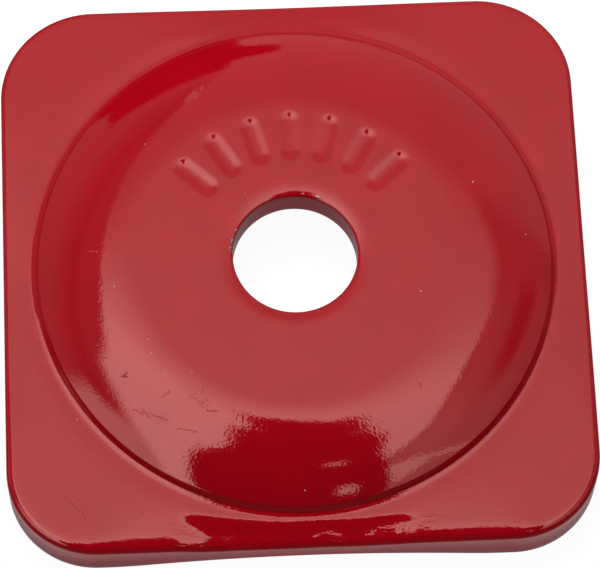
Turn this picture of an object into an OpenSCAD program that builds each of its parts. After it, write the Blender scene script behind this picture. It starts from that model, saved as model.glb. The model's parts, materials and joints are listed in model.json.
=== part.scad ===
// Support plate for a traction stud: one pressed square of aluminium with a flat-topped
// dome, a stud hole through the crown and a hollow underside that leaves four bearing corners.
// All sizes are in millimetres. The plate bears on z = 0 and the stud passes along +Z.

/* [Plate] */
// Side of the square plate
plate_w = 38.1; // [36.8:0.1:60]
// Radius of the plate's corners in plan
corner_r = 6; // [3:0.1:9]
// Thickness of the plate at its corners
flange_t = 3.35; // [2.8:0.05:5]
// Radius of the soft upper lip round the plate
lip_r = 0.55; // [0.2:0.05:0.9]
// Radius that breaks the lower edge
lower_edge_r = 0.15; // [0.05:0.05:0.5]

/* [Rolled front] */
// How far the lip is pulled down at the middle of the front side
roll_depth = 0.3; // [0.1:0.05:0.6]
// Length of lip that is pulled down
roll_length = 17; // [8:0.5:22]
// Width of the strip that is pulled down, at the middle of the side
roll_w = 1.4; // [0.5:0.05:4]

/* [Dome] */
// Width of the flange between the dome's sharp crease and the middle of a side
foot_margin = 2; // [1.3:0.05:4]
// Height of the top of the coined wall above the flange
foot_wall_h = 0.45; // [0.2:0.05:0.8]
// Width of the coined wall, seen from above
foot_wall_w = 0.27; // [0.1:0.01:0.6]
// Width of the strip of flange that sweeps up to the dome's foot
skirt_w = 0.6; // [0.4:0.1:1.6]
// Height of that sweep at the foot
skirt_h = 0.06; // [0.03:0.01:0.2]
// Height of the crown above the flange
dome_h = 2.4; // [1.6:0.05:3.4]
// Diameter of the flat crown
crown_d = 20.6; // [18:0.1:24]

/* [Hollow underside] */
// Thickness of metal at the crown
crown_t = 2.35; // [1.5:0.05:2.8]
// Thickness of metal under the dome's foot
foot_t = 1.7; // [1.2:0.05:2.2]
// Slope of the hollow's wall in degrees
hollow_slope = 18; // [14:0.5:24]
// Radius between the hollow's roof and its wall
roof_r = 6; // [2:0.5:12]
// Radius where the hollow runs out on the bearing corners
mouth_r = 4; // [1:0.5:6]

/* [Stud hole] */
// Diameter of the stud hole
bore_d = 8.1; // [6:0.1:10]
// Radius of the rounding at the top of the hole
bore_top_r = 0.2; // [0.1:0.05:0.6]
// Radius of the rounding at the bottom of the hole
bore_low_r = 0.15; // [0.05:0.05:0.4]

/* [Sunken marks] */
// Number of plain shallow grooves behind the hole
mark_count = 7; // [3:1:9]
// Angle between neighbouring grooves in degrees
mark_step = 16; // [12:0.5:18]
// Distance from the hole's axis to the middle of a groove
mark_radius = 8.4; // [7.8:0.1:9]
// Length of a groove, along the radius
mark_len = 3.4; // [1.6:0.1:3.6]
// Width of a groove where it meets the crown
mark_w = 1.4; // [1.3:0.05:1.5]
// Width of the sloping wall of a groove
mark_wall_w = 0.55; // [0.1:0.05:0.6]
// Depth of a groove below the crown
mark_depth = 0.12; // [0.05:0.01:0.5]

/* [Hidden] */
$fn = 96;

// Spare length by which a cutting solid passes the face that it cuts
over = 1;

half_w = plate_w / 2;
straight = plate_w - 2 * corner_r;
bore_r = bore_d / 2;
foot_r = half_w - foot_margin;
crown_z = flange_t + dome_h;

// Top of the coined wall, where the dome's side ends
wall_r = foot_r - foot_wall_w;
wall_z = flange_t + foot_wall_h;

// The dome's side is one arc, which leaves the flat crown at a tangent and ends at the wall's top
crown_r = crown_d / 2;
side_w = wall_r - crown_r;
side_h = crown_z - wall_z;
side_r = (pow(side_w, 2) + pow(side_h, 2)) / (2 * side_h);
side_end = atan2(side_r - side_h, side_w);

// The hollow's wall passes under the foot at the thickness kept there
roof_z = crown_z - crown_t;
under_foot_z = flange_t - foot_t;
roof_corner_r = foot_r - (roof_z - under_foot_z) / tan(hollow_slope);
mouth_corner_r = foot_r + under_foot_z / tan(hollow_slope);

// The skirt is a hollow arc that is tangent to the flange at its outer edge
skirt_r = (pow(skirt_w, 2) + pow(skirt_h, 2)) / (2 * skirt_h);
skirt_bend = asin(skirt_w / skirt_r);

// The roll is a shallow dip cut by the side of a large cylinder that leans forwards
roll_start = half_w - roll_w;
roll_angle = atan((roll_depth + skirt_h) / roll_w);
roll_r = (pow(roll_length / 2, 2) + pow(roll_depth, 2)) / (2 * roll_depth);

// Point of a circle at an angle
function on_circle(x, y, r, angle) = [x + r * cos(angle), y + r * sin(angle)];

// Length from a corner to where a fillet of radius r touches lines that meet at a shallow bend
function tangent_len(r, bend) = r * tan(bend / 2);

// Stretch of a disc between its chord and its arc, which turns a straight cut across a corner
// of an outline into a true fillet
module bulge(x, y, r, from, to) {
    intersection() {
        translate([x, y])
            circle(r);
        polygon([
            on_circle(x, y, r, from),
            on_circle(x, y, 2 * r, from),
            on_circle(x, y, 2 * r, to),
            on_circle(x, y, r, to)
        ]);
    }
}

// Outline of the plate's rim from a corner's axis outwards, with the lip and the lower edge
module rim_outline(thickness) {
    polygon([
        [0, 0],
        [corner_r - lower_edge_r, 0],
        [corner_r, lower_edge_r],
        [corner_r, thickness - lip_r],
        [corner_r - lip_r, thickness],
        [0, thickness]
    ]);
    bulge(corner_r - lower_edge_r, lower_edge_r, lower_edge_r, -90, 0);
    bulge(corner_r - lip_r, thickness - lip_r, lip_r, 0, 90);
}

// Square blank with rounded corners and a rounded lip
module blank(thickness) {
    translate([-straight / 2, -straight / 2, 0])
        cube([straight, straight, thickness]);
    for (side = [0:3])
        rotate([0, 0, 90 * side])
            translate([straight / 2, straight / 2, 0]) {
                rotate([90, 0, 0])
                    linear_extrude(straight)
                        rim_outline(thickness);
                rotate_extrude(angle = 90)
                    rim_outline(thickness);
            }
}

// Strip of flange that sweeps up to the dome's foot, kept within the plate's rim
module skirt() {
    skirt_x = foot_r + skirt_w;
    intersection() {
        rotate_extrude()
            difference() {
                polygon([
                    [wall_r, under_foot_z],
                    [skirt_x, under_foot_z],
                    [skirt_x, flange_t],
                    [foot_r, flange_t + skirt_h],
                    [wall_r, flange_t + skirt_h]
                ]);
                bulge(skirt_x, flange_t + skirt_r, skirt_r, -90 - skirt_bend, -90);
            }
        blank(flange_t + skirt_h);
    }
}

// Solid dome from inside the flange up to the crown
module dome() {
    rotate_extrude() {
        polygon([
            [0, under_foot_z],
            [foot_r, under_foot_z],
            [foot_r, flange_t + skirt_h],
            [wall_r, wall_z],
            [crown_r, crown_z],
            [0, crown_z]
        ]);
        bulge(crown_r, crown_z - side_r, side_r, side_end, 90);
    }
}

// Space under the plate, open downwards
module hollow() {
    roof_x = roof_corner_r - tangent_len(roof_r, hollow_slope);
    mouth_x = mouth_corner_r + tangent_len(mouth_r, hollow_slope);
    rotate_extrude() {
        difference() {
            polygon([
                [0, -over],
                [mouth_x, -over],
                [mouth_x, 0],
                on_circle(mouth_x, mouth_r, mouth_r, -90 - hollow_slope),
                on_circle(roof_x, roof_z - roof_r, roof_r, 90 - hollow_slope),
                [roof_x, roof_z],
                [0, roof_z]
            ]);
            bulge(mouth_x, mouth_r, mouth_r, -90 - hollow_slope, -90);
        }
        bulge(roof_x, roof_z - roof_r, roof_r, 90 - hollow_slope, 90);
    }
}

// Straight hole through the crown, with both edges rounded
module stud_hole() {
    top_x = bore_r + bore_top_r;
    top_z = crown_z - bore_top_r;
    low_x = bore_r + bore_low_r;
    low_z = roof_z + bore_low_r;
    translate([0, 0, -over])
        cylinder(r = bore_r, h = crown_z + 2 * over);
    rotate_extrude()
        difference() {
            polygon([
                [0, top_z],
                [bore_r, top_z],
                [top_x, crown_z],
                [top_x, crown_z + over],
                [0, crown_z + over]
            ]);
            bulge(top_x, top_z, bore_top_r, 90, 180);
        }
    rotate_extrude()
        difference() {
            polygon([
                [0, low_z],
                [bore_r, low_z],
                [low_x, roof_z],
                [low_x, roof_z - over],
                [0, roof_z - over]
            ]);
            bulge(low_x, low_z, bore_low_r, 180, 270);
        }
}

// Shallow dip that pulls the lip down at the middle of the front side
module rolled_front() {
    translate([0, -roll_start, flange_t + skirt_h])
        rotate([90 + roll_angle, 0, 0])
            translate([0, roll_r, 0])
                cylinder(r = roll_r, h = roll_w + 2 * over, $fn = 360);
}

// Cutting solid of one groove with sloping walls and round ends, lying along the radius. It is
// twice as tall as the groove is deep, so that it passes the crown.
module mark() {
    end = (mark_len - mark_w) / 2;
    floor_half = mark_w / 2 - mark_wall_w;
    top_half = mark_w / 2 + mark_wall_w;
    translate([0, mark_radius, crown_z - mark_depth]) {
        rotate([90, 0, 0])
            translate([0, 0, -end])
                linear_extrude(2 * end)
                    polygon([
                        [-floor_half, 0],
                        [floor_half, 0],
                        [top_half, 2 * mark_depth],
                        [-top_half, 2 * mark_depth]
                    ]);
        for (y = [-end, end])
            translate([0, y, 0])
                cylinder(r1 = floor_half, r2 = top_half, h = 2 * mark_depth);
    }
}

// Row of grooves on an arc behind the hole
module marks() {
    for (i = [0:mark_count - 1])
        rotate([0, 0, (i - (mark_count - 1) / 2) * mark_step])
            mark();
}

module support_plate() {
    color([0.69, 0.09, 0.12])
        difference() {
            union() {
                difference() {
                    union() {
                        blank(flange_t);
                        skirt();
                    }
                    rolled_front();
                }
                dome();
            }
            marks();
            hollow();
            stud_hole();
        }
}

support_plate();
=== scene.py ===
"""Looks of the square domed support plate: gloss red powder coat on pressed aluminium.

The plate is one closed mesh built from rings round the stud hole. It has the same form as the
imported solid, with a finer surface, soft shallow grooves and the texture of the coat.
Sizes are in millimetres until the mesh is made.
"""
import json
import math

import bpy
import numpy as np
from mathutils import Matrix, Vector


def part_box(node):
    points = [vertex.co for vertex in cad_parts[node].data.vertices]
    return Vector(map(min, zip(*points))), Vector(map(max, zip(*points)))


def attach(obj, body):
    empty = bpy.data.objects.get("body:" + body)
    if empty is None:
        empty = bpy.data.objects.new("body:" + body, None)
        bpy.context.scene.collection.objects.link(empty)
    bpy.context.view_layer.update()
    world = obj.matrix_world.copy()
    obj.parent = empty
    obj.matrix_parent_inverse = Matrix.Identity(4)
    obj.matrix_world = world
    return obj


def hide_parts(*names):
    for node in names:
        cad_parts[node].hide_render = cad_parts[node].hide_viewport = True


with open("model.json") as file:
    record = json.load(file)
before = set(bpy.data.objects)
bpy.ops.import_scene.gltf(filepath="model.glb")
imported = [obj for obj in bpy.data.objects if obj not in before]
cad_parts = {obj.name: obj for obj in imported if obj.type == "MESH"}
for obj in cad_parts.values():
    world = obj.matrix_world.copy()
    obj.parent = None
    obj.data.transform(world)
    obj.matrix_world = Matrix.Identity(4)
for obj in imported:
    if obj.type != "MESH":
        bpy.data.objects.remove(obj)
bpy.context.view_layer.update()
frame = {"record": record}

# Sizes, in millimetres
MM = 0.001
NODE = "support_plate"
LOW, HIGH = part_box(NODE)
BORE_R = next(m for m in frame["record"]["mounts"] if m["name"] == "stud_hole")["dims"]["r_mm"]

HALF = (HIGH.x - LOW.x) / MM / 2
CROWN_Z = HIGH.z / MM
BACK_CORNER_R = 6.2
FRONT_CORNER_R = 5.75
FLANGE_T = 3.35
LIP_R = 0.55
SIDE_LIP_R = 0.34
LOWER_EDGE_R = 0.15

# the lip grows from its side radius to its front radius, in shares of half the plate
LIP_GROWS_FROM = 0.2
LIP_GROWS_OVER = 0.7

# dome and coined foot wall; the foot stands a little to the back, on a settled strip of flange
FOOT_MARGIN = 2.06
FOOT_WALL_W = 0.27
FOOT_WALL_H = 0.45
FOOT_R = HALF - FOOT_MARGIN
WALL_R = FOOT_R - FOOT_WALL_W
WALL_Z = FLANGE_T + FOOT_WALL_H
SKIRT_W = 0.4
SKIRT_H = 0.06
SKIRT_R = (SKIRT_W**2 + SKIRT_H**2) / (2 * SKIRT_H)
FOOT_SHIFT = 0.09
SETTLE_FROM = 0.2
SETTLE_W = 1.2
SETTLE_H = 0.02
CROWN_R = 10.3
SIDE_W = WALL_R - CROWN_R
SIDE_H = CROWN_Z - WALL_Z
SIDE_R = (SIDE_W**2 + SIDE_H**2) / (2 * SIDE_H)

# the front side's lip is rolled down along its middle: wide on the left, narrow on the right
ROLL_START = 17.45
ROLL_BOW_LEFT = 0.75
ROLL_BOW_RIGHT = 0.3
ROLL_REACH = 7.2
ROLL_W = 0.95
ROLL_DEPTH = 0.18
ROLL_LEAN = 0.035
EASE_START = 18.0
EASE = 0.19
GENTLE_START = 15.2
GENTLE = 0.016

# stretches of the front side along x: from, to and blend
ROLL_STRETCH = (-7.3, 6.3, 2.8)
EASE_STRETCH = (-14.5, 14.5, 3.0)
GENTLE_STRETCH = (-12.5, 12.5, 4.0)

# width of the roll as a share of ROLL_W, with what is added or taken away along it
ROLL_SHARE = 0.76
ROLL_MORE = ((0.38, (-9.0, 0.4, 1.6)), (0.33, (2.0, 4.0, 1.2)))
ROLL_LEFT_MORE, ROLL_LEFT_FROM = 0.2, -4.0
ROLL_RIGHT_LESS, ROLL_RIGHT_FROM = 0.15, 3.8
ROLL_CHANGE = 2.0

# the strip of flange beside the dome leans outwards at the middle of the other sides
BOW_START = 16.9
BOW_SLOPE = 0.065
BOW_HALF = 12.0

# hollow underside
CROWN_T = 2.35
FOOT_T = 1.7
ROOF_Z = CROWN_Z - CROWN_T
UNDER_FOOT_Z = FLANGE_T - FOOT_T
HOLLOW_SLOPE = math.radians(18)
ROOF_R = 6.0
MOUTH_R = 4.0

# stud hole, with a shallow dish round its upper edge
BORE_TOP_R = 0.2
BORE_LOW_R = 0.15
DISH_W = 1.1
DISH_SLOPE = 0.21
DISH_TILT = math.atan(DISH_SLOPE)
DISH_START = BORE_R + BORE_TOP_R * (1 - math.sin(DISH_TILT))

# soft grooves behind the hole
MARK_COUNT = 7
MARK_STEP = math.radians(16)
MARK_RADIUS = 8.4
MARK_REACH = 1.05
MARK_FLOOR = 0.1
MARK_EDGE = 0.8
MARK_DEPTH = 0.095
MARK_SPILL = 0.3

# corners of a ring, and the numbers of rings
ANGLES = 480
CROWN_RINGS = 56
SIDE_RINGS = 27
FLANGE_RINGS = 18
LIP_RINGS = 11
RIM_RINGS = 5
CORNER_RINGS = 12
UNDER_RINGS = 39
EDGE_RINGS = 4
BORE_RINGS = 5
BORE_TOP_RINGS = 8

# rings close to the top and the foot of the coined wall, and the last one on the dome's side
SIDE_END = 0.06
WALL_TOP_RINGS = (-0.02, 0.03)
WALL_FOOT_RINGS = (-0.04, -0.01, 0.02, 0.07, 0.15, 0.25, 0.35)

# how far inside the plate's sides the rings of the underside become circles
UNDER_INSET = 0.5


# Form
def steps(count, low=0.0, high=1.0):
    """Even steps from low to high, without low itself."""
    return np.linspace(low, high, count + 1)[1:]


def smooth_step(t):
    """Soft change from 0 to 1 while t goes from 0 to 1."""
    t = np.clip(t, 0, 1)
    return t * t * (3 - 2 * t)


def outline_radius(theta, inset):
    """Distance from the axis to the plate's outline, drawn in by inset."""
    half = HALF - inset
    corner = np.where(np.sin(theta) > 0, BACK_CORNER_R, FRONT_CORNER_R) - inset
    centre = half - corner
    c, s = np.abs(np.cos(theta)), np.abs(np.sin(theta))
    straight = half / np.maximum(c, s)
    along = centre * (c + s)
    arc = along + np.sqrt(np.maximum(corner**2 - 2 * centre**2 + along**2, 0))
    return np.where(np.minimum(c, s) * straight > centre, arc, straight)


def lip_radius(theta):
    """Radius of the upper lip, which is softest along the front."""
    y = outline_radius(theta, 0) * np.sin(theta)
    grown = smooth_step((-y / HALF - LIP_GROWS_FROM) / LIP_GROWS_OVER)
    return SIDE_LIP_R + (LIP_R - SIDE_LIP_R) * grown


def dome_height(r):
    """Height of the upper face at a distance from the axis, without its marks and its roll."""
    side = CROWN_Z - SIDE_R + np.sqrt(SIDE_R**2 - np.clip(r - CROWN_R, 0, SIDE_W) ** 2)
    dish = np.clip(1 - (r - DISH_START) / DISH_W, 0, 1)
    side = side - DISH_SLOPE * DISH_W / 3 * dish**3
    settled = FLANGE_T - SETTLE_H * (1 - smooth_step((r - FOOT_R - SETTLE_FROM) / SETTLE_W))
    wall = np.interp(r, [WALL_R, FOOT_R], [WALL_Z, FLANGE_T - SETTLE_H + SKIRT_H])
    reach = np.clip(FOOT_R + SKIRT_W - r, 0, SKIRT_W)
    skirt = settled + SKIRT_R - np.sqrt(SKIRT_R**2 - reach**2)
    return np.where(r <= WALL_R, side, np.where(r <= FOOT_R, wall, skirt))


def marks_depth(x, y):
    """Depth of the soft grooves, which lie along the radius behind the hole."""
    depth = np.zeros_like(x)
    for i in range(MARK_COUNT):
        turn = (i - (MARK_COUNT - 1) / 2) * MARK_STEP
        across = x * math.cos(turn) + y * math.sin(turn)
        along = -x * math.sin(turn) + y * math.cos(turn) - MARK_RADIUS
        distance = np.hypot(across, np.maximum(np.abs(along) - MARK_REACH, 0))
        depth = np.maximum(depth, smooth_step((MARK_EDGE - distance) / (MARK_EDGE - MARK_FLOOR)))
    return depth * MARK_DEPTH


def bump_along(x, low, high, blend):
    """Soft step that is 1 between low and high and fades to 0 over blend on both sides."""
    return smooth_step((x - low) / blend + 0.5) * smooth_step((high - x) / blend + 0.5)


def front_roll(x, y):
    """Depth of the roll that pulls the flange down towards the lip along the front side."""
    start = ROLL_START - np.where(x < 0, ROLL_BOW_LEFT, ROLL_BOW_RIGHT) * (x / ROLL_REACH) ** 2
    share = ROLL_SHARE + sum(more * bump_along(x, *stretch) for more, stretch in ROLL_MORE)
    share = share + ROLL_LEFT_MORE * smooth_step((ROLL_LEFT_FROM - x) / ROLL_CHANGE)
    share = share - ROLL_RIGHT_LESS * smooth_step((x - ROLL_RIGHT_FROM) / ROLL_CHANGE)
    beyond = -y - start
    roll = ROLL_DEPTH * share * smooth_step(beyond / (ROLL_W * share))
    roll = roll + ROLL_LEAN * np.maximum(beyond, 0)
    ease = EASE / 2 * np.maximum(-y - EASE_START, 0) ** 2 * bump_along(x, *EASE_STRETCH)
    gentle = GENTLE / 2 * np.maximum(-y - GENTLE_START, 0) ** 2 * bump_along(x, *GENTLE_STRETCH)
    return roll * bump_along(x, *ROLL_STRETCH) + ease + gentle


def side_bow(x, y):
    """Depth by which the flange leans outwards at the middle of the back, left and right sides."""
    across, along = np.maximum(np.abs(x), np.abs(y)), np.minimum(np.abs(x), np.abs(y))
    lean = BOW_SLOPE * np.maximum(across - BOW_START, 0) * (1 - smooth_step(along / BOW_HALF))
    return np.where(-y > np.abs(x), 0, lean)


def top_height(x, y):
    """Height of the whole upper face."""
    r = np.hypot(x, y)
    z = dome_height(r)
    z = z - np.where(r < CROWN_R + MARK_SPILL, marks_depth(x, y), 0)
    z = z - np.where((r > FOOT_R) & (y < 0), front_roll(x, y), 0)
    return z - np.where(r > FOOT_R, side_bow(x, y), 0)


def bottom_height(r):
    """Height of the hollow underside at a distance from the axis."""
    slope = math.tan(HOLLOW_SLOPE)
    roof_corner = FOOT_R - (ROOF_Z - UNDER_FOOT_Z) / slope
    mouth_corner = FOOT_R + UNDER_FOOT_Z / slope
    roof_x = roof_corner - ROOF_R * math.tan(HOLLOW_SLOPE / 2)
    mouth_x = mouth_corner + MOUTH_R * math.tan(HOLLOW_SLOPE / 2)
    z = np.clip(ROOF_Z - (r - roof_corner) * slope, 0, ROOF_Z)
    roof_end = roof_x + ROOF_R * math.sin(HOLLOW_SLOPE)
    mouth_end = mouth_x - MOUTH_R * math.sin(HOLLOW_SLOPE)
    roof = ROOF_Z - ROOF_R + np.sqrt(ROOF_R**2 - np.clip(r - roof_x, 0, ROOF_R) ** 2)
    mouth = MOUTH_R - np.sqrt(MOUTH_R**2 - np.clip(mouth_x - r, 0, MOUTH_R) ** 2)
    z = np.where((r > roof_x) & (r < roof_end), roof, z)
    return np.where((r > mouth_end) & (r < mouth_x), mouth, z)


def top_ring(theta, radius, share=1.0):
    """Ring of the upper face, with a share of the dome's shift to the back."""
    shift = FOOT_SHIFT * share * smooth_step((radius - CROWN_R) / (WALL_R - CROWN_R))
    z = top_height(radius * np.cos(theta), radius * np.sin(theta))
    return radius + shift * np.sin(theta), z


def dome_rings(theta):
    """Crown, dome side, coined wall and skirt, from the top of the hole outwards."""
    crown = np.linspace(DISH_START, CROWN_R, CROWN_RINGS)
    side = steps(SIDE_RINGS, CROWN_R, WALL_R - SIDE_END)
    wall_top = WALL_R + np.array(WALL_TOP_RINGS)
    wall_foot = FOOT_R + np.array((*WALL_FOOT_RINGS, SKIRT_W))
    radii = (*crown, *side, *wall_top, (WALL_R + FOOT_R) / 2, *wall_foot)
    return [top_ring(theta, radius) for radius in radii]


def flange_rings(theta):
    """Flange from the skirt out to where the lip's rounding starts."""
    inner, rim = FOOT_R + SKIRT_W, outline_radius(theta, lip_radius(theta))
    return [top_ring(theta, inner + (rim - inner) * t, 1 - t) for t in steps(FLANGE_RINGS)]


def rim_rings(theta):
    """Lip, which is an arc from the slope of the flange down to the wall, and the rim's wall."""
    lip = lip_radius(theta)
    cos, sin = np.cos(theta), np.sin(theta)
    rim, middle = outline_radius(theta, lip), outline_radius(theta, lip / 2)
    fall = top_height(rim * cos, rim * sin) - top_height(middle * cos, middle * sin)
    tilt = np.arctan2(fall, lip / 2)
    start = outline_radius(theta, lip * (1 - np.sin(tilt)))
    lip_z = top_height(start * cos, start * sin) - lip * np.cos(tilt)
    rings = []
    for t in steps(LIP_RINGS):
        phi = tilt + (math.pi / 2 - tilt) * t
        rings.append((outline_radius(theta, lip * (1 - np.sin(phi))), lip_z + lip * np.cos(phi)))
    low_z = bottom_height(outline_radius(theta, LOWER_EDGE_R)) + LOWER_EDGE_R
    for t in steps(RIM_RINGS):
        rings.append((outline_radius(theta, 0), lip_z + (low_z - lip_z) * t))
    return rings


def underside_rings(theta):
    """Lower edge of the rim, and the underside back to the hole."""
    lower = outline_radius(theta, LOWER_EDGE_R)
    lower_z = bottom_height(lower)
    rings = []
    for t in steps(EDGE_RINGS):
        phi = math.pi / 2 * t
        inset = LOWER_EDGE_R * (1 - math.cos(phi))
        rings.append((outline_radius(theta, inset), lower_z + LOWER_EDGE_R * (1 - math.sin(phi))))
    inscribed = HALF - UNDER_INSET
    radii = [lower + (inscribed - lower) * t for t in steps(CORNER_RINGS)]
    radii.extend(steps(UNDER_RINGS, inscribed, BORE_R + BORE_LOW_R))
    return rings + [(radius, bottom_height(radius)) for radius in radii]


def bore_rings(top_z):
    """Lower rounding, wall and upper rounding of the hole, up to the height of the upper face."""
    rings = []
    for t in steps(EDGE_RINGS):
        phi = math.pi / 2 * t
        radius = BORE_R + BORE_LOW_R * (1 - math.sin(phi))
        rings.append((radius, ROOF_Z + BORE_LOW_R * (1 - math.cos(phi))))
    low = ROOF_Z + BORE_LOW_R
    high = top_z - BORE_TOP_R * math.cos(DISH_TILT)
    for t in steps(BORE_RINGS):
        rings.append((BORE_R, low + (high - low) * t))
    for t in steps(BORE_TOP_RINGS)[:-1]:
        phi = math.pi / 2 + (DISH_TILT - math.pi / 2) * t
        radius = BORE_R + BORE_TOP_R * (1 - math.sin(phi))
        rings.append((radius, high + BORE_TOP_R * math.cos(phi)))
    return rings


def plate_rings():
    """Points of all rings: out over the upper face, round the rim, and back underneath."""
    theta = np.arange(ANGLES) * 2 * math.pi / ANGLES
    rings = dome_rings(theta) + flange_rings(theta) + rim_rings(theta) + underside_rings(theta)
    rings += bore_rings(rings[0][1])
    cos, sin = np.cos(theta), np.sin(theta)
    points = [(radius * cos, radius * sin, np.broadcast_to(z, theta.shape)) for radius, z in rings]
    return np.stack(points).transpose(0, 2, 1)


def ring_mesh(name, rings):
    """Closed mesh in which each ring joins the next, and the last joins the first."""
    count, angles = rings.shape[:2]
    index = np.arange(count * angles).reshape(count, angles)
    outer, turned = np.roll(index, -1, 0), np.roll(index, -1, 1)
    both = np.roll(outer, -1, 1)
    faces = np.stack([index, outer, both, turned], -1).reshape(-1, 4)
    mesh = bpy.data.meshes.new(name)
    mesh.from_pydata((rings.reshape(-1, 3) * MM).tolist(), [], faces.tolist())
    mesh.polygons.foreach_set("use_smooth", [True] * len(faces))
    mesh.update()
    obj = bpy.data.objects.new(name, mesh)
    bpy.context.scene.collection.objects.link(obj)
    return obj


# Shader helpers
def plug(tree, socket, value):
    """Joins a socket to an output, or sets it to a number or a colour."""
    if isinstance(value, bpy.types.NodeSocket):
        tree.links.new(value, socket)
    else:
        socket.default_value = value


def add_node(tree, kind, inputs=(), **props):
    """New node with its properties set and its inputs joined or set."""
    node = tree.nodes.new(kind)
    for name, value in props.items():
        setattr(node, name, value)
    for key, value in dict(inputs).items():
        plug(tree, node.inputs[key], value)
    return node


def calc(tree, operation, a, b=0.0, clamp=False):
    """Result of one operation on numbers."""
    node = add_node(tree, "ShaderNodeMath", {0: a, 1: b}, operation=operation, use_clamp=clamp)
    return node.outputs[0]


def vector_calc(tree, operation, a, b=(0, 0, 0), output=0):
    """Result of one operation on vectors."""
    return add_node(tree, "ShaderNodeVectorMath", {0: a, 1: b}, operation=operation).outputs[output]


def scale_vector(tree, vector, factor):
    """Vector times a number."""
    inputs = {0: vector, "Scale": factor}
    return add_node(tree, "ShaderNodeVectorMath", inputs, operation="SCALE").outputs[0]


def every(tree, *masks):
    """Product of masks, which is 1 where all of them are."""
    total = masks[0]
    for mask in masks[1:]:
        total = calc(tree, "MULTIPLY", total, mask)
    return total


def largest(tree, *masks):
    """Largest of some masks, which is 1 where any of them is."""
    total = masks[0]
    for mask in masks[1:]:
        total = calc(tree, "MAXIMUM", total, mask)
    return total


def ramp(tree, value, low, high, to_low=0.0, to_high=1.0):
    """Smooth change from to_low to to_high while value goes from low to high."""
    inputs = {0: value, 1: low, 2: high, 3: to_low, 4: to_high}
    node = add_node(tree, "ShaderNodeMapRange", inputs, interpolation_type="SMOOTHSTEP")
    return node.outputs[0]


def mix_colour(tree, factor, a, b):
    """Colour a where factor is 0 and b where it is 1."""
    node = add_node(tree, "ShaderNodeMix", {0: factor, 6: a, 7: b}, data_type="RGBA")
    return node.outputs[2]


def mix_value(tree, factor, a, b):
    """Number a where factor is 0 and b where it is 1."""
    return add_node(tree, "ShaderNodeMix", {0: factor, 2: a, 3: b}).outputs[0]


def mix_shader(tree, factor, a, b):
    """Shader a where factor is 0 and b where it is 1."""
    return add_node(tree, "ShaderNodeMixShader", {0: factor, 1: a, 2: b}).outputs[0]


def noise(tree, vector, scale, detail=2.0, roughness=0.5, output="Fac"):
    """Soft noise between 0 and 1, with scale features to a unit of the vector."""
    inputs = {"Vector": vector, "Scale": scale, "Detail": detail, "Roughness": roughness}
    return add_node(tree, "ShaderNodeTexNoise", inputs).outputs[output]


# Coat
COAT_RED = (0.42, 0.0015, 0.0088, 1)
COAT_GLOSS_TINT = (1.0, 0.57, 0.535, 1)
COAT_SPECULAR = 0.875
COAT_ROUGHNESS = 0.06
WORN_ROUGHNESS = 0.4
RUBBED_ROUGHNESS = 0.3
BARE_METAL = (0.62, 0.58, 0.52, 1)
DUST = (0.62, 0.38, 0.33, 1)
SOOT = (0.05, 0.004, 0.006, 1)

# A noise is written as its grains per millimetre, its detail and, where it isn't 0.5, its
# roughness. A ramp is written as from, to, and what it gives there, where that isn't 0 and 1.

# the red is a little lighter and darker in large clouds and small flecks
RED_LIGHT, RED_DARK = 1.05, 0.9
CLOUD_NOISE, CLOUD_RAMP = (0.35, 3), (0.3, 0.7, 0.0, 0.5)
FLECK_NOISE, FLECK_RAMP = (8.0, 1), (0.35, 0.65, 0.0, 0.5)

# orange peel: noise, and depth in millimetres
PEEL = (((5.5, 1), 0.0038), ((2.6, 1), 0.002), ((0.5, 1), 0.006))

# streaks along the front of the flange, from the middle out to their reach
STREAK_START = -17.2
STREAK_BLEND = 0.4
STREAK_REACH = 9.5
STREAK_FADE = 2.0
STREAK_GRAINS = (1.3, 4.5, 1.0)
STREAK_NOISE = (1.0, 2)
STREAK_DEPTH = 0.013

# how much the edges of small marks wander, in millimetres
WANDER = 0.25
WANDER_NOISE = (4.0, 2)

# specks of dust and dark grains in the coat: x, y and radius, seen from above
PALE_SPECKS = (
    (7.97, -2.98, 0.06), (11.84, 4.69, 0.07), (15.11, 1.17, 0.05), (-11.76, -1.85, 0.05),
    (-11.78, -2.52, 0.04), (-9.67, -5.61, 0.04), (-9.48, -6.55, 0.05), (-8.69, -8.01, 0.05),
    (-6.94, -7.98, 0.04), (-0.04, -15.77, 0.05), (-9.51, 8.19, 0.04), (-14.41, -10.05, 0.05),
)
DARK_SPECKS = (
    (-0.78, -5.83, 0.05), (12.79, 3.03, 0.05), (8.18, -12.62, 0.06), (-6.08, -10.63, 0.08),
)

# scrapes through the gloss, hairlines in the flange, and a fibre under the coat: start and end
SCRAPES = (
    ((-10.8, -10.1), (-10.2, -10.4)), ((-10.2, -10.2), (-9.7, -10.7)),
    ((-9.5, -10.6), (-8.6, -11.0)), ((-8.9, -9.5), (-8.4, -9.2)),
    ((-8.0, -11.55), (-6.8, -11.9)), ((-6.35, -9.4), (-6.15, -9.1)),
    ((-6.1, -10.6), (-5.4, -10.7)), ((7.45, -9.2), (7.6, -9.35)),
    ((7.6, -9.35), (7.7, -9.65)), ((12.3, -4.3), (12.5, -4.7)),
    ((-13.3, 0.8), (-12.8, 0.65)), ((-3.15, 4.35), (-2.85, 3.95)),
)
HAIRLINES = (
    ((-15.25, -15.2), (-14.75, -15.7)), ((-14.75, -15.7), (-14.5, -16.1)),
    ((-14.5, -16.1), (-14.2, -16.3)), ((-14.2, -16.3), (-14.0, -16.8)),
    ((-10.4, -16.3), (-10.3, -16.6)),
)
FIBRE = (((-11.45, -7.88), (-11.07, -7.97)), ((-11.3, -7.84), (-11.12, -7.71)))

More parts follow.
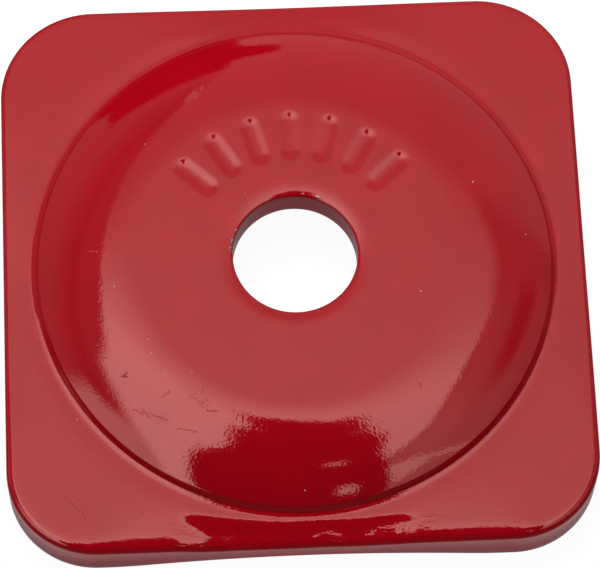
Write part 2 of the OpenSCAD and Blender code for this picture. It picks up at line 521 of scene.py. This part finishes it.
# stretches of the hole's rim where the coat has chipped off, and how far down its wall
CHIPS = (((-3.78, 1.68), (-4.05, 1.05)), ((-4.05, 1.05), (-4.16, 0.45)))
SMALL_CHIPS = (((0.6, 4.22), (0.75, 4.2)), ((1.55, 3.98), (1.75, 3.88)))
CHIP_DOWN = (CROWN_Z - 0.6, CROWN_Z - 0.3)

CHIP_NOISE, CHIP_RAMP = (7.0, 3, 0.7), (0.53, 0.57)

# half widths of the strokes, in millimetres
LINE_W = 0.05
HAIRLINE_W = 0.045
CHIP_W = 0.2

# where the edges of spots and strokes fade, in shares of their radius or half width
SPOT_FADE = (0.5, 1.2)
STROKE_FADE = (0.4, 1.0)

# patches of short rough scuffs, and a rubbed patch: middle, half length, half width and turn;
# the grains of the scuffs are counted in half lengths and half widths of their patch
SCUFFS = (((-9.4, -10.6), 1.5, 0.6, -0.35), ((-6.6, -9.9), 1.1, 0.6, -0.4))
SCUFF_NOISE, SCUFF_RAMP, SCUFF_FADE = (4.5, 3, 0.6), (0.54, 0.64), (0.4, 1.0, 1.0, 0.0)
RUBBED = ((-6.25, 11.6), 1.15, 0.28, 0.86)
RUBBED_NOISE, RUBBED_RAMP, RUBBED_FADE = (2.2, 2), (0.3, 0.6), (0.85, 1.05, 1.0, 0.0)

# height of each kind of mark over the coat, in millimetres
MARK_RISES = {
    "scuffs": -0.006, "pale": 0.012, "scrapes": -0.009, "hairlines": -0.008, "fibre": -0.012,
    "chips": -0.03,
}

# how strongly the marks show in the colour
SCRAPE_SHOWS = 0.12
RUBBED_SHOWS = 0.07
HAIRLINE_SHOWS = 0.4
SOOT_SHOWS = 0.75


def spots(tree, plan, places):
    """1 inside small round spots and 0 outside them."""
    masks = []
    for x, y, radius in places:
        distance = vector_calc(tree, "DISTANCE", plan, (x, y, 0), "Value")
        near, far = (radius * share for share in SPOT_FADE)
        masks.append(ramp(tree, distance, near, far, 1.0, 0.0))
    return largest(tree, *masks)


def strokes(tree, plan, lines, half_width):
    """1 on thin straight strokes and 0 beside them."""
    masks = []
    for start, end in lines:
        run = Vector((end[0] - start[0], end[1] - start[1], 0))
        from_start = vector_calc(tree, "SUBTRACT", plan, (*start, 0))
        along = vector_calc(tree, "DOT_PRODUCT", from_start, run / run.length_squared, "Value")
        along = calc(tree, "ADD", along, 0.0, clamp=True)
        nearest = scale_vector(tree, run, along)
        distance = vector_calc(tree, "DISTANCE", from_start, nearest, "Value")
        near, far = (half_width * share for share in STROKE_FADE)
        masks.append(ramp(tree, distance, near, far, 1.0, 0.0))
    return largest(tree, *masks)


def patch(tree, plan, middle, half_length, half_width, turn):
    """Coordinates inside a long patch, and their distance from its middle: 1 at its edge."""
    inputs = {
        "Vector": plan,
        "Location": (*middle, 0),
        "Rotation": (0, 0, turn),
        "Scale": (half_length, half_width, 1),
    }
    inside = add_node(tree, "ShaderNodeMapping", inputs, vector_type="TEXTURE").outputs[0]
    return inside, vector_calc(tree, "LENGTH", inside, output="Value")


def scuffed(tree, plan):
    """1 on the ridges of short scuffs, which lie across each other inside long soft patches."""
    masks = []
    for place in SCUFFS:
        inside, reach = patch(tree, plan, *place)
        ridge = ramp(tree, noise(tree, inside, *SCUFF_NOISE), *SCUFF_RAMP)
        masks.append(every(tree, ridge, ramp(tree, reach, *SCUFF_FADE)))
    return largest(tree, *masks)


def chipped(tree, in_mm, plan, uneven):
    """1 where the coat has chipped off at the top of the hole, with a ragged edge."""
    ragged = ramp(tree, noise(tree, in_mm, *CHIP_NOISE), *CHIP_RAMP)
    large = every(tree, strokes(tree, plan, CHIPS, CHIP_W), ragged)
    small = strokes(tree, uneven, SMALL_CHIPS, LINE_W)
    above = add_node(tree, "ShaderNodeSeparateXYZ", {0: in_mm}).outputs[2]
    return every(tree, largest(tree, large, small), ramp(tree, above, *CHIP_DOWN))


def rubbed_patch(tree, in_mm, uneven):
    """1 where the gloss is rubbed dull, in a soft blotchy patch."""
    _, reach = patch(tree, uneven, *RUBBED)
    blotches = ramp(tree, noise(tree, in_mm, *RUBBED_NOISE), *RUBBED_RAMP)
    return every(tree, ramp(tree, reach, *RUBBED_FADE), blotches)


def coat_marks(tree, in_mm):
    """Masks of all that has marked the coat, by name."""
    plan = vector_calc(tree, "MULTIPLY", in_mm, (1, 1, 0))
    wander = noise(tree, in_mm, *WANDER_NOISE, output="Color")
    wander = vector_calc(tree, "SUBTRACT", wander, (0.5, 0.5, 0.5))
    wander = vector_calc(tree, "MULTIPLY", wander, (WANDER, WANDER, 0))
    uneven = vector_calc(tree, "ADD", plan, wander)
    return {
        "pale": spots(tree, plan, PALE_SPECKS),
        "dark": spots(tree, uneven, DARK_SPECKS),
        "scrapes": strokes(tree, uneven, SCRAPES, LINE_W),
        "hairlines": strokes(tree, uneven, HAIRLINES, HAIRLINE_W),
        "fibre": strokes(tree, uneven, FIBRE, LINE_W),
        "rubbed": rubbed_patch(tree, in_mm, uneven),
        "scuffs": scuffed(tree, plan),
        "chips": chipped(tree, in_mm, plan, uneven),
    }


def coat_height(tree, in_mm, marks):
    """Fine height of the coat in millimetres: orange peel, streaks along the front, and marks."""
    x, y, _ = add_node(tree, "ShaderNodeSeparateXYZ", {0: in_mm}).outputs
    front = ramp(tree, y, STREAK_START - STREAK_BLEND, STREAK_START, 1.0, 0.0)
    aside = calc(tree, "ABSOLUTE", x)
    sides = ramp(tree, aside, STREAK_REACH - STREAK_FADE, STREAK_REACH, 1.0, 0.0)
    streaks = vector_calc(tree, "MULTIPLY", in_mm, STREAK_GRAINS)
    streaks = noise(tree, streaks, *STREAK_NOISE)
    height = every(tree, streaks, every(tree, front, sides), STREAK_DEPTH)
    for grains, depth in PEEL:
        peel = calc(tree, "MULTIPLY", noise(tree, in_mm, *grains), depth)
        height = calc(tree, "ADD", height, peel)
    for name, rise in MARK_RISES.items():
        height = calc(tree, "ADD", height, calc(tree, "MULTIPLY", marks[name], rise))
    return height


def tinted(colour, factor):
    """Colour made lighter or darker by a factor."""
    return tuple(value * factor for value in colour[:3]) + (1,)


def coat_colour(tree, in_mm, marks):
    """Red of the coat, with its cloudy patches, dust, soot and bare metal."""
    clouds = ramp(tree, noise(tree, in_mm, *CLOUD_NOISE), *CLOUD_RAMP)
    flecks = ramp(tree, noise(tree, in_mm, *FLECK_NOISE), *FLECK_RAMP)
    mottled = calc(tree, "ADD", clouds, flecks)
    colour = mix_colour(tree, mottled, tinted(COAT_RED, RED_LIGHT), tinted(COAT_RED, RED_DARK))
    scraped = calc(tree, "MULTIPLY", marks["scrapes"], SCRAPE_SHOWS)
    rubbed = calc(tree, "MULTIPLY", marks["rubbed"], RUBBED_SHOWS)
    colour = mix_colour(tree, largest(tree, scraped, rubbed), colour, DUST)
    colour = mix_colour(tree, marks["pale"], colour, DUST)
    hairlines = calc(tree, "MULTIPLY", marks["hairlines"], HAIRLINE_SHOWS)
    soot = largest(tree, marks["dark"], marks["fibre"], hairlines)
    colour = mix_colour(tree, calc(tree, "MULTIPLY", soot, SOOT_SHOWS), colour, SOOT)
    return mix_colour(tree, marks["chips"], colour, BARE_METAL)


def coat_material():
    """Gloss red powder coat with what has marked it."""
    material = bpy.data.materials.new("gloss_red_powder_coat")
    material.use_nodes = True
    tree = material.node_tree
    shader = tree.nodes["Principled BSDF"]
    position = add_node(tree, "ShaderNodeTexCoord").outputs["Object"]
    in_mm = vector_calc(tree, "MULTIPLY", position, (1 / MM,) * 3)
    marks = coat_marks(tree, in_mm)
    dull = largest(tree, *(marks[name] for name in ("pale", "fibre", "scrapes", "chips")))
    roughness = mix_value(tree, dull, COAT_ROUGHNESS, WORN_ROUGHNESS)
    inputs = {"Height": coat_height(tree, in_mm, marks), "Distance": MM, "Strength": 1.0}
    looks = {
        "Base Color": coat_colour(tree, in_mm, marks),
        "Roughness": mix_value(tree, marks["rubbed"], roughness, RUBBED_ROUGHNESS),
        "Metallic": marks["chips"],
        "IOR": 1.5,
        "Specular IOR Level": COAT_SPECULAR,
        "Specular Tint": COAT_GLOSS_TINT,
        "Normal": add_node(tree, "ShaderNodeBump", inputs).outputs[0],
    }
    for name, value in looks.items():
        plug(tree, shader.inputs[name], value)
    return material


# Studio
#
# What hangs over the plate, laid out flat: u to the right and v to the back, both in degrees
# from straight up. An edge is a broken line of (place, distance) pairs.
LEFT_EDGE = ((-90, -39), (-14, -39), (3, -38), (8, -32), (19, -25), (40, -15), (60, -9), (90, -9))
LOBE_EDGE = ((-90, -3), (-51, -6), (-46, -12), (-39, -17), (-36, -40), (90, -90))
BLACK_LOW = ((-90, 80), (-46, 71), (-39.5, 69), (-36.5, 60), (-24, 61), (-9, 62.8), (90, 63))
BLACK_RIGHT = (
    (-90, -9), (62.8, -9), (69, -8), (71, -2), (73, 1), (79.5, 1.4), (81, -6), (85, -8.4),
    (90, -8.4),
)
RIGHT_EDGE = (
    (-90, 10), (-26, 20), (-14, 27.4), (3, 27.4), (15, 31), (22, 30), (30, 23), (38, 18),
    (90, 18),
)
DARK_RIGHT = ((-90, 46), (-12, 46), (-8, 50), (2, 54), (14, 59), (90, 60))
BODY_TOP = ((-90, -40), (-4.6, 0), (-4.0, 8.2), (1, 8), (2.4, 6.5), (7.2, 4), (9, 0), (90, 0))
BODY_LEFT = (
    (-90, -30), (-38, -29.5), (-32, -28), (-27, -26), (-23, -23.8), (-20, -21), (-18, -18),
    (-15.8, -14.6), (-13, -12), (-8, -10), (-2, -7.8), (3, -5.5), (6, -4.3), (90, -4.3),
)
BODY_RIGHT = (
    (-90, 26), (-38, 24), (-28, 21), (-22, 18.4), (-17, 17), (-12, 16), (-8, 13), (-4.6, 11.2),
    (0, 9), (4, 7.2), (90, 7),
)
CARD_TOP = ((-90, -31), (21, -31), (27.5, -28.5), (34.5, -29), (90, -29))
CARD_LOW = ((-90, -32), (21, -32), (26, -41), (35, -31), (90, -31))
CARD_LEFT = 21.6
SLANT = 0.22
GAP_SLANT = 0.2

# small lights: u from and to, v from and to, and brightness
SMALL_LIGHTS = (
    (5.8, 10.2, -24.6, -22.4, 1.8), (10.0, 15.2, -43.2, -38.2, 2.2), (8.5, 11.0, -5.8, -4.4, 0.5),
)

# how far an edge is blurred, in degrees; the blur of two of them changes from front to back
SHARP = 0.4
LEFT_BLUR = (0, 22, 4.0, 1.2)
RIGHT_BLUR = (8, 22, SHARP, 6.5)
LOBE_BLUR = 4.5
GAP_BLUR = 2.0

# ramps over those degrees: from, to, and the levels there, or 0 and 1 where none are given
BOX_BACK, BOX_ACROSS = (3, 25, 1.8, 0.0), (-15, 25, 1.1, 0.8)
SWEEP_BACK, SWEEP_ACROSS = (18.5, 34, 1.13, 0.53), (-15, 15, 1.04, 1.0)
RING_INNER, RING_OUTER = (43, 47), (48, 53, 1.0, 0.0)
LEFT_ROOM = (53, 64, 0.22, 0.36)
LOBE_END = (-41, -35, 1.0, 0.0)
GREY_BACK, GREY_ACROSS = (-20, 8, 0.88, 0.48), (33, 42, 1.0, 0.8)
GREY_LOW = (54, 62)
GREY_BEHIND, GREY_FAR_BEHIND = (12, 21), (26, 36, 0.27, 0.5)
GAP_RIGHT, GAP_FRONT, GAP_BACK = (40, 48), (-14, 2), (13, 21, 1.0, 0.0)
DARK_FRONT = (-60, -48, 1.0, 0.0)
HORIZON, HORIZON_FRONT = (70, 78), (0, 20, 1.0, 0.0)

# plain levels
BLACK_LEVEL = 0.0
RING_LEVEL = -0.08
LOBE_LEVEL = 1.9
GREY_LOW_LEVEL = 0.4
GAP_LEVEL = 0.1
CARD_LEVEL = 2.2
FRONT_LEVEL = 0.04
HORIZON_LEVEL = 0.03
FILL_LEVEL = 0.25

# table: shade of the paper in light and to the camera, its glow, and its levels in reflections,
# where a painted shadow of the plate lies at its foot
FLOOR_HALF = 0.5
FLOOR_DROP = 0.00002
PAPER_GREY = 0.8
SEEN_GREY = 0.16
FLOOR_WHITE = 0.95
FLOOR_GLOW = 0.15
FLOOR_PAINTED_SHADOW = 0.25
FLOOR_NEAR = 0.54
FLOOR_FAR = 0.08

# where those levels change, in millimetres from the plate
FLOOR_RIM = (0.3, 1.1)
FLOOR_FADE = (1.6, 4.0)

# soft lamp
KEY_PLACE = Vector((-0.020, 0.078, 0.148))
KEY_SIZE = 0.08
KEY_WATTS = 0.214


def edge(tree, value, points):
    """Broken line through (place, distance) points that stretch from -90 to 90 degrees."""
    span = 90.0
    at = calc(tree, "MULTIPLY_ADD", value, 0.5 / span)
    at.node.inputs[2].default_value = 0.5
    node = add_node(tree, "ShaderNodeFloatCurve", {"Value": at})
    line = node.mapping.curves[0]
    scaled = [tuple((part + span) / (2 * span) for part in point) for point in points]
    line.points[0].location, line.points[1].location = scaled[0], scaled[-1]
    for point in scaled[1:-1]:
        line.points.new(*point)
    for point in line.points:
        point.handle_type = "VECTOR"
    node.mapping.update()
    distance = calc(tree, "MULTIPLY_ADD", node.outputs[0], 2 * span)
    distance.node.inputs[2].default_value = -span
    return distance


def past(tree, value, limit, blur=SHARP):
    """1 where value is more than limit, faded over blur on both sides."""
    return ramp(tree, calc(tree, "DIVIDE", calc(tree, "SUBTRACT", value, limit), blur), -1, 1)


def overhead_light(tree, u, v):
    """Overhead softbox, which fades into the sweep behind it."""
    slanted = calc(tree, "ADD", v, calc(tree, "MULTIPLY", u, SLANT))
    box = every(tree, ramp(tree, slanted, *BOX_BACK), ramp(tree, u, *BOX_ACROSS))
    sweep = every(tree, ramp(tree, v, *SWEEP_BACK), ramp(tree, u, *SWEEP_ACROSS))
    return calc(tree, "ADD", box, sweep)


def with_left_room(tree, u, v, zenith, level):
    """Dim room on the left, with a darker ring, a bright lobe in front and a black gap behind."""
    ring = every(tree, ramp(tree, zenith, *RING_INNER), ramp(tree, zenith, *RING_OUTER))
    ring = calc(tree, "MULTIPLY", ring, RING_LEVEL)
    room = calc(tree, "ADD", ramp(tree, zenith, *LEFT_ROOM), ring)
    lit = past(tree, u, edge(tree, v, LEFT_EDGE), ramp(tree, v, *LEFT_BLUR))
    level = mix_value(tree, lit, room, level)
    lobe = past(tree, edge(tree, u, LOBE_EDGE), v, LOBE_BLUR)
    level = mix_value(tree, every(tree, lobe, ramp(tree, u, *LOBE_END)), level, LOBE_LEVEL)
    behind, beside = edge(tree, u, BLACK_LOW), edge(tree, v, BLACK_RIGHT)
    black = every(tree, past(tree, v, behind), past(tree, beside, u))
    return mix_value(tree, black, level, BLACK_LEVEL)


def with_right_room(tree, u, v, zenith, level):
    """Grey room on the right of the softbox, with a dark gap and a bright card in front."""
    grey = every(tree, ramp(tree, v, *GREY_BACK), ramp(tree, u, *GREY_ACROSS))
    grey = mix_value(tree, ramp(tree, zenith, *GREY_LOW), grey, GREY_LOW_LEVEL)
    grey = mix_value(tree, ramp(tree, v, *GREY_BEHIND), grey, ramp(tree, v, *GREY_FAR_BEHIND))
    turned = calc(tree, "SUBTRACT", u, calc(tree, "MULTIPLY", v, GAP_SLANT))
    gap = every(
        tree,
        ramp(tree, turned, *GAP_RIGHT),
        ramp(tree, v, *GAP_FRONT),
        ramp(tree, v, *GAP_BACK),
        past(tree, edge(tree, v, DARK_RIGHT), u, GAP_BLUR),
    )
    grey = mix_value(tree, gap, grey, GAP_LEVEL)
    right = past(tree, u, edge(tree, v, RIGHT_EDGE), ramp(tree, v, *RIGHT_BLUR))
    level = mix_value(tree, right, level, grey)
    top, low = edge(tree, u, CARD_TOP), edge(tree, u, CARD_LOW)
    card = every(tree, past(tree, top, v), past(tree, v, low), past(tree, u, CARD_LEFT))
    return mix_value(tree, card, level, CARD_LEVEL)


def with_front(tree, u, v, zenith, level):
    """Dark shape of the camera stand with small lights, and a dark room low in front."""
    left, right = edge(tree, v, BODY_LEFT), edge(tree, v, BODY_RIGHT)
    top = edge(tree, u, BODY_TOP)
    body = every(tree, past(tree, u, left), past(tree, right, u), past(tree, top, v))
    level = mix_value(tree, body, level, BLACK_LEVEL)
    for u_low, u_high, v_low, v_high, brightness in SMALL_LIGHTS:
        across = every(tree, past(tree, u, u_low), past(tree, u_high, u))
        beam = every(tree, across, past(tree, v, v_low), past(tree, v_high, v))
        level = mix_value(tree, beam, level, brightness)
    level = mix_value(tree, ramp(tree, v, *DARK_FRONT), level, FRONT_LEVEL)
    horizon = every(tree, ramp(tree, zenith, *HORIZON), ramp(tree, v, *HORIZON_FRONT))
    return mix_value(tree, horizon, level, HORIZON_LEVEL)


def studio_reflections(tree, direction):
    """Brightness of the softboxes and of the dark gaps between them, for reflections."""
    up = add_node(tree, "ShaderNodeSeparateXYZ", {0: direction}).outputs[2]
    zenith = calc(tree, "DEGREES", calc(tree, "ARCCOSINE", up))
    plan = vector_calc(tree, "NORMALIZE", vector_calc(tree, "MULTIPLY", direction, (1, 1, 0)))
    laid_out = scale_vector(tree, plan, zenith)
    u, v, _ = add_node(tree, "ShaderNodeSeparateXYZ", {0: laid_out}).outputs
    level = overhead_light(tree, u, v)
    level = with_left_room(tree, u, v, zenith, level)
    level = with_right_room(tree, u, v, zenith, level)
    return with_front(tree, u, v, zenith, level)


def studio_world():
    """White to the camera, softboxes in reflections, and a plain dim fill for everything else."""
    world = bpy.data.worlds.new("studio")
    bpy.context.scene.world = world
    world.use_nodes = True
    tree = world.node_tree
    tree.nodes.clear()
    direction = add_node(tree, "ShaderNodeTexCoord").outputs["Generated"]
    path = add_node(tree, "ShaderNodeLightPath").outputs
    level = mix_value(tree, path["Is Glossy Ray"], FILL_LEVEL, studio_reflections(tree, direction))
    level = mix_value(tree, path["Is Camera Ray"], level, 1.0)
    grey = add_node(tree, "ShaderNodeCombineColor", {0: level, 1: level, 2: level}).outputs[0]
    background = add_node(tree, "ShaderNodeBackground", {"Color": grey, "Strength": 1.0})
    output = add_node(tree, "ShaderNodeOutputWorld")
    tree.links.new(background.outputs[0], output.inputs[0])


def floor_reflection(tree):
    """Brightness of the table in reflections: a painted shadow at the plate, white round it, dark
    beyond.
    """
    position = add_node(tree, "ShaderNodeTexCoord").outputs["Object"]
    in_mm = vector_calc(tree, "MULTIPLY", position, (1 / MM, 1 / MM, 0))
    centre = HALF - BACK_CORNER_R
    folded = vector_calc(tree, "ABSOLUTE", in_mm)
    outside = vector_calc(tree, "SUBTRACT", folded, (centre, centre, 0))
    outside = vector_calc(tree, "MAXIMUM", outside, (0, 0, 0))
    reach = vector_calc(tree, "LENGTH", outside, output="Value")
    distance = calc(tree, "SUBTRACT", reach, BACK_CORNER_R)
    # painted shadow: the table's glow in reflections is darker at the foot of the plate
    near = ramp(tree, distance, *FLOOR_RIM, FLOOR_PAINTED_SHADOW, FLOOR_NEAR)
    return mix_value(tree, ramp(tree, distance, *FLOOR_FADE), near, FLOOR_FAR)


def paper(tree, grey, glow):
    """Matt paper that gives off some light of its own."""
    matt = add_node(tree, "ShaderNodeBsdfDiffuse", {"Color": (grey, grey, grey, 1)}).outputs[0]
    light = add_node(tree, "ShaderNodeEmission", {"Strength": glow}).outputs[0]
    return add_node(tree, "ShaderNodeAddShader", {0: matt, 1: light}).outputs[0]


def floor_material():
    """White paper, with its own level in reflections, and clear to a camera below it."""
    material = bpy.data.materials.new("white_table")
    material.use_nodes = True
    tree = material.node_tree
    tree.nodes.clear()
    path = add_node(tree, "ShaderNodeLightPath").outputs
    mirrored = add_node(tree, "ShaderNodeEmission", {"Strength": floor_reflection(tree)}).outputs[0]
    surface = mix_shader(tree, path["Is Glossy Ray"], paper(tree, PAPER_GREY, FLOOR_GLOW), mirrored)
    below = add_node(tree, "ShaderNodeNewGeometry").outputs["Backfacing"]
    clear = add_node(tree, "ShaderNodeBsdfTransparent").outputs[0]
    seen = mix_shader(tree, below, paper(tree, SEEN_GREY, FLOOR_WHITE), clear)
    surface = mix_shader(tree, path["Is Camera Ray"], surface, seen)
    output = add_node(tree, "ShaderNodeOutputMaterial")
    tree.links.new(surface, output.inputs[0])
    return material


def studio_floor():
    """White table, which keeps a faint shadow of the plate and is clear when seen from below."""
    signs = ((-1, -1), (1, -1), (1, 1), (-1, 1))
    corners = [(sx * FLOOR_HALF, sy * FLOOR_HALF, LOW.z - FLOOR_DROP) for sx, sy in signs]
    mesh = bpy.data.meshes.new("floor")
    mesh.from_pydata(corners, [], [(0, 1, 2, 3)])
    mesh.materials.append(floor_material())
    floor = bpy.data.objects.new("floor", mesh)
    bpy.context.scene.collection.objects.link(floor)


def key_lamp():
    """Soft lamp from behind and above, left out of the reflections that the world paints."""
    lamp = bpy.data.lights.new("key", "AREA")
    lamp.shape = "DISK"
    lamp.size = KEY_SIZE
    lamp.energy = KEY_WATTS
    obj = bpy.data.objects.new("key", lamp)
    obj.location = KEY_PLACE
    obj.rotation_euler = (-KEY_PLACE).to_track_quat("-Z", "Y").to_euler()
    obj.visible_glossy = False
    bpy.context.scene.collection.objects.link(obj)


# Camera
#
# It is fitted to the photograph. Its optical axis passes through the origin, and meets the
# picture at AXIS_PX, in pixels from the top left.
CAMERA_AZIMUTH = math.radians(-3.989)
CAMERA_ELEVATION = math.radians(67.797)
CAMERA_ROLL = math.radians(1.654)
CAMERA_DISTANCE = 0.240486
IMAGE_WIDTH, IMAGE_HEIGHT = 600, 568
FOCAL_PX = 3632.0
AXIS_PX = (294.28, 286.28)
SENSOR_WIDTH = 36
CLIP_START = 0.01


def photo_camera():
    """Camera at the photograph's viewing angle."""
    camera = bpy.data.cameras.new("camera")
    camera.sensor_width = SENSOR_WIDTH
    camera.sensor_fit = "HORIZONTAL"
    camera.lens = FOCAL_PX / IMAGE_WIDTH * SENSOR_WIDTH
    camera.shift_x = (IMAGE_WIDTH / 2 - AXIS_PX[0]) / IMAGE_WIDTH
    camera.shift_y = (AXIS_PX[1] - IMAGE_HEIGHT / 2) / IMAGE_WIDTH
    camera.clip_start = CLIP_START
    a, e = CAMERA_AZIMUTH, CAMERA_ELEVATION
    towards = Vector((math.sin(a) * math.cos(e), -math.cos(a) * math.cos(e), math.sin(e)))
    right = Vector((math.cos(a), math.sin(a), 0))
    up = towards.cross(right)
    turn = Matrix.Rotation(CAMERA_ROLL, 3, towards)
    right, up = turn @ right, turn @ up
    obj = bpy.data.objects.new("camera", camera)
    basis = Matrix((right, up, towards)).transposed().to_4x4()
    obj.matrix_world = Matrix.Translation(towards * CAMERA_DISTANCE) @ basis
    bpy.context.scene.collection.objects.link(obj)
    bpy.context.scene.camera = obj


# Scene
bpy.context.scene.view_settings.view_transform = "Standard"
photo_camera()
studio_world()
studio_floor()
key_lamp()

plate = ring_mesh("coated_plate", plate_rings())
plate.data.materials.append(coat_material())
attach(plate, "root")
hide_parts(NODE)
